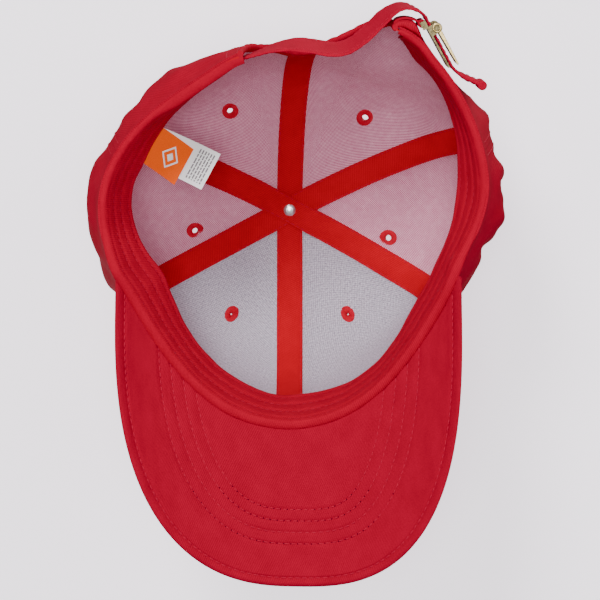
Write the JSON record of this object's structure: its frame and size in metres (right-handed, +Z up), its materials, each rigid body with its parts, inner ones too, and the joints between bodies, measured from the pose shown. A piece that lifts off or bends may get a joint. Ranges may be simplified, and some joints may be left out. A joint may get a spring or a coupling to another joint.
{
  "type": "baseball cap",
  "caption": "Cloth cap with a panelled crown, curved visor, inner sweatband and a rear strap that tightens through a flip-lever buckle.",
  "frame": {"origin": "centre of the box round the cap, on the surface that its two visor corners and the rear rim stand on", "axes": "+Z up out of the crown's top, -Y forward along the visor, +X towards the wearer's left"},
  "size_m": [0.2068, 0.2838, 0.1246],
  "materials": {
    "red_twill": "brushed cotton twill, matt",
    "front_buckram": "stiff open-weave buckram, matt",
    "knit_mesh": "fused knit backing, matt",
    "seam_tape": "cotton twill tape, matt",
    "sweatband_cloth": "cotton twill with stitched rows, matt",
    "visor_stiffener": "flexible moulded board",
    "rivet_metal": "plated, lightly worn",
    "red_thread": "satin-stitched thread",
    "strap_cloth": "folded cotton twill, matt",
    "antique_brass": "antique, darkened and buffed",
    "orange_label": "woven label",
    "white_label": "smooth woven label"
  },
  "bodies": {
    "cap": {"panel_front_left": "red_twill", "panel_side_left": "red_twill", "panel_back_left": "red_twill", "panel_back_right": "red_twill", "panel_side_right": "red_twill", "panel_front_right": "red_twill", "backing_front_left": "front_buckram", "backing_side_left": "knit_mesh", "backing_back_left": "knit_mesh", "backing_back_right": "knit_mesh", "backing_side_right": "knit_mesh", "backing_front_right": "front_buckram", "tape_front_to_back": "seam_tape", "tape_left_front_to_right_back": "seam_tape", "tape_right_front_to_left_back": "seam_tape", "rear_arch_binding": "seam_tape", "sweatband": "sweatband_cloth", "visor_top_cover": "red_twill", "visor_board": "visor_stiffener", "visor_under_cover": "red_twill", "top_button": "red_twill", "button_rivet": "rivet_metal", "eyelet_front_left": "red_thread", "eyelet_side_left": "red_thread", "eyelet_back_left": "red_thread", "eyelet_back_right": "red_thread", "eyelet_side_right": "red_thread", "eyelet_front_right": "red_thread", "strap_root": "strap_cloth", "buckle_tab": "strap_cloth", "buckle_base": "antique_brass", "buckle_pin": "antique_brass"},
    "strap": {"strap_end": "strap_cloth", "strap_hem": "strap_cloth", "strap_loop": "strap_cloth"},
    "lever": {"buckle_lever": "antique_brass"},
    "brand_flap": {"brand_label": "orange_label"},
    "care_flap": {"care_label": "white_label"}
  },
  "joints": [
    {"name": "strap_slide", "type": "slide", "parent": "cap", "child": "strap", "axis": [-0.4848, -0.8603, 0.1579], "range_m": [-0.003, 0.005], "deforming": ["strap_loop"]},
    {"name": "buckle_lever_hinge", "type": "hinge", "parent": "cap", "child": "lever", "pos_m": [-0.06885, 0.12855, 0.01329], "axis": [0, -0.1805, -0.9836], "range_deg": [0, 110]},
    {"name": "brand_label_fold", "type": "hinge", "parent": "cap", "child": "brand_flap", "pos_m": [0.07106, 0.07213, 0.03985], "axis": [0.4822, -0.8733, 0.0687], "range_deg": [0, 70], "stiffness_Nm_per_rad": 0.0006},
    {"name": "care_label_fold", "type": "hinge", "parent": "cap", "child": "care_flap", "pos_m": [0.07106, 0.07213, 0.03985], "axis": [-0.4822, 0.8733, -0.0687], "range_deg": [0, 25], "stiffness_Nm_per_rad": 0.0009}
  ]
}
